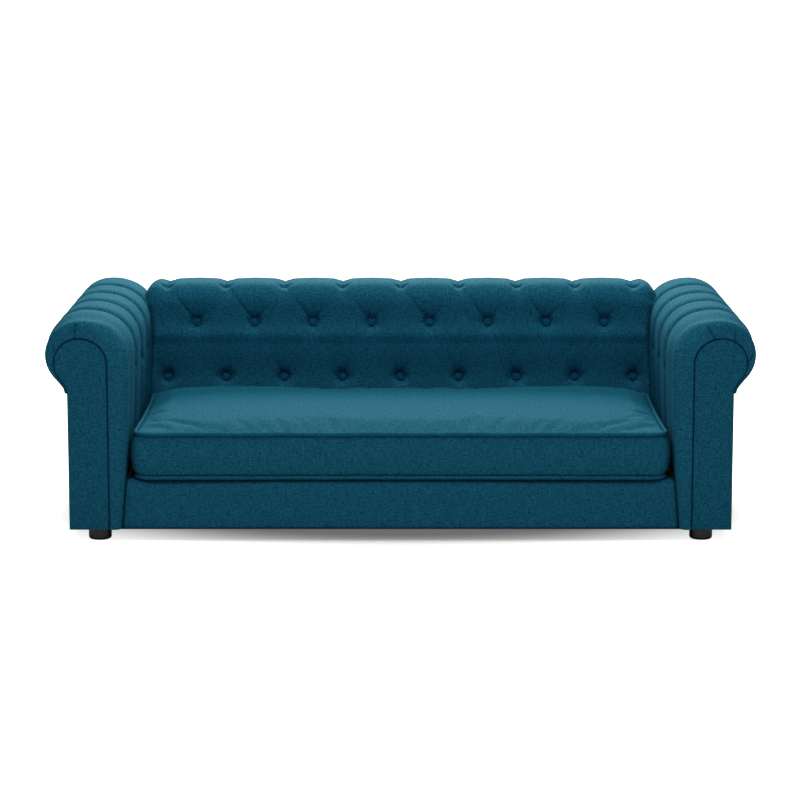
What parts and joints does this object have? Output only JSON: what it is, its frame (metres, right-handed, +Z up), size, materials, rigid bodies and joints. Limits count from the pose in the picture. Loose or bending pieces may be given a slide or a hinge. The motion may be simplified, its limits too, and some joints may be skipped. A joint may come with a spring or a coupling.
{
  "type": "dog sofa bed",
  "caption": "Low pet sofa with rolled arms, a rolled diamond-tufted back and a loose box cushion with piped edges, on short round feet.",
  "frame": {"origin": "middle of the sofa's footprint, on the surface it stands on, halfway over its width and its depth", "axes": "+X to the viewer's right along the width, +Y to the rear, +Z up; left and right in node names are the viewer's, seen from the front"},
  "size_m": [1.0992, 0.55, 0.35],
  "materials": {
    "cover_fabric": "slubby linen-look weave, petrol blue",
    "trim_fabric": "the same weave, drawn flat over facings, buttons and piping",
    "pine": "planed softwood",
    "plywood": "birch plywood",
    "hardboard": "hardboard",
    "felt": "dark grey-blue felt",
    "foam": "open-cell foam",
    "dust_cloth": "thin black non-woven cloth",
    "foot_plastic": "satin black moulded plastic",
    "fastener_steel": "zinc plated",
    "zip_plastic": "coil zip on a woven tape",
    "zip_metal": "lacquered die-cast"
  },
  "bodies": {
    "sofa": {"base_front_rail": "pine", "base_rear_rail": "pine", "base_side_rails": "pine", "base_cross_rails": "pine", "corner_braces": "pine", "seat_deck": "plywood", "deck_pad": "felt", "front_rail_cover": "cover_fabric", "dust_cover": "dust_cloth", "module_bolts": "fastener_steel", "module_nuts": "fastener_steel", "arm_front_board_left": "plywood", "arm_front_board_right": "plywood", "arm_rear_board_left": "plywood", "arm_rear_board_right": "plywood", "arm_bottom_board_left": "plywood", "arm_bottom_board_right": "plywood", "arm_rails_left": "pine", "arm_rails_right": "pine", "arm_inner_panel_left": "hardboard", "arm_inner_panel_right": "hardboard", "arm_outer_panel_left": "hardboard", "arm_outer_panel_right": "hardboard", "arm_outer_cover_left": "cover_fabric", "arm_outer_cover_right": "cover_fabric", "arm_pad_left": "cover_fabric", "arm_pad_right": "cover_fabric", "arm_facing_left": "trim_fabric", "arm_facing_right": "trim_fabric", "arm_rear_cover_left": "trim_fabric", "arm_rear_cover_right": "trim_fabric", "arm_buttons_left": "trim_fabric", "arm_buttons_right": "trim_fabric", "foot_front_left": "foot_plastic", "foot_front_right": "foot_plastic", "foot_rear_left": "foot_plastic", "foot_rear_right": "foot_plastic", "foot_screws": "fastener_steel", "back_posts": "pine", "back_rails": "pine", "back_panel": "hardboard", "back_pad": "cover_fabric", "back_buttons_lower": "trim_fabric", "back_buttons_upper": "trim_fabric", "back_outer_cover": "cover_fabric", "back_end_covers": "cover_fabric", "back_bolts": "fastener_steel"},
    "cushion": {"cushion_core": "foam", "cushion_cover": "cover_fabric", "cushion_piping_top": "trim_fabric", "cushion_piping_bottom": "trim_fabric", "cushion_zip": "zip_plastic"},
    "zip_slider": {"zip_slider": "zip_metal"},
    "zip_pull": {"zip_pull": "zip_metal"}
  },
  "joints": [
    {"name": "cushion_lift", "type": "slide", "parent": "sofa", "child": "cushion", "axis": [0, 0, 1], "range_m": [0, 0.27]},
    {"name": "zip_slide", "type": "slide", "parent": "cushion", "child": "zip_slider", "axis": [1, 0, 0], "range_m": [0, 0.66]},
    {"name": "zip_pull_swing", "type": "hinge", "parent": "zip_slider", "child": "zip_pull", "pos_m": [-0.33, 0.1132, 0.13546], "axis": [0, 1, 0], "range_deg": [-80, 80]}
  ]
}
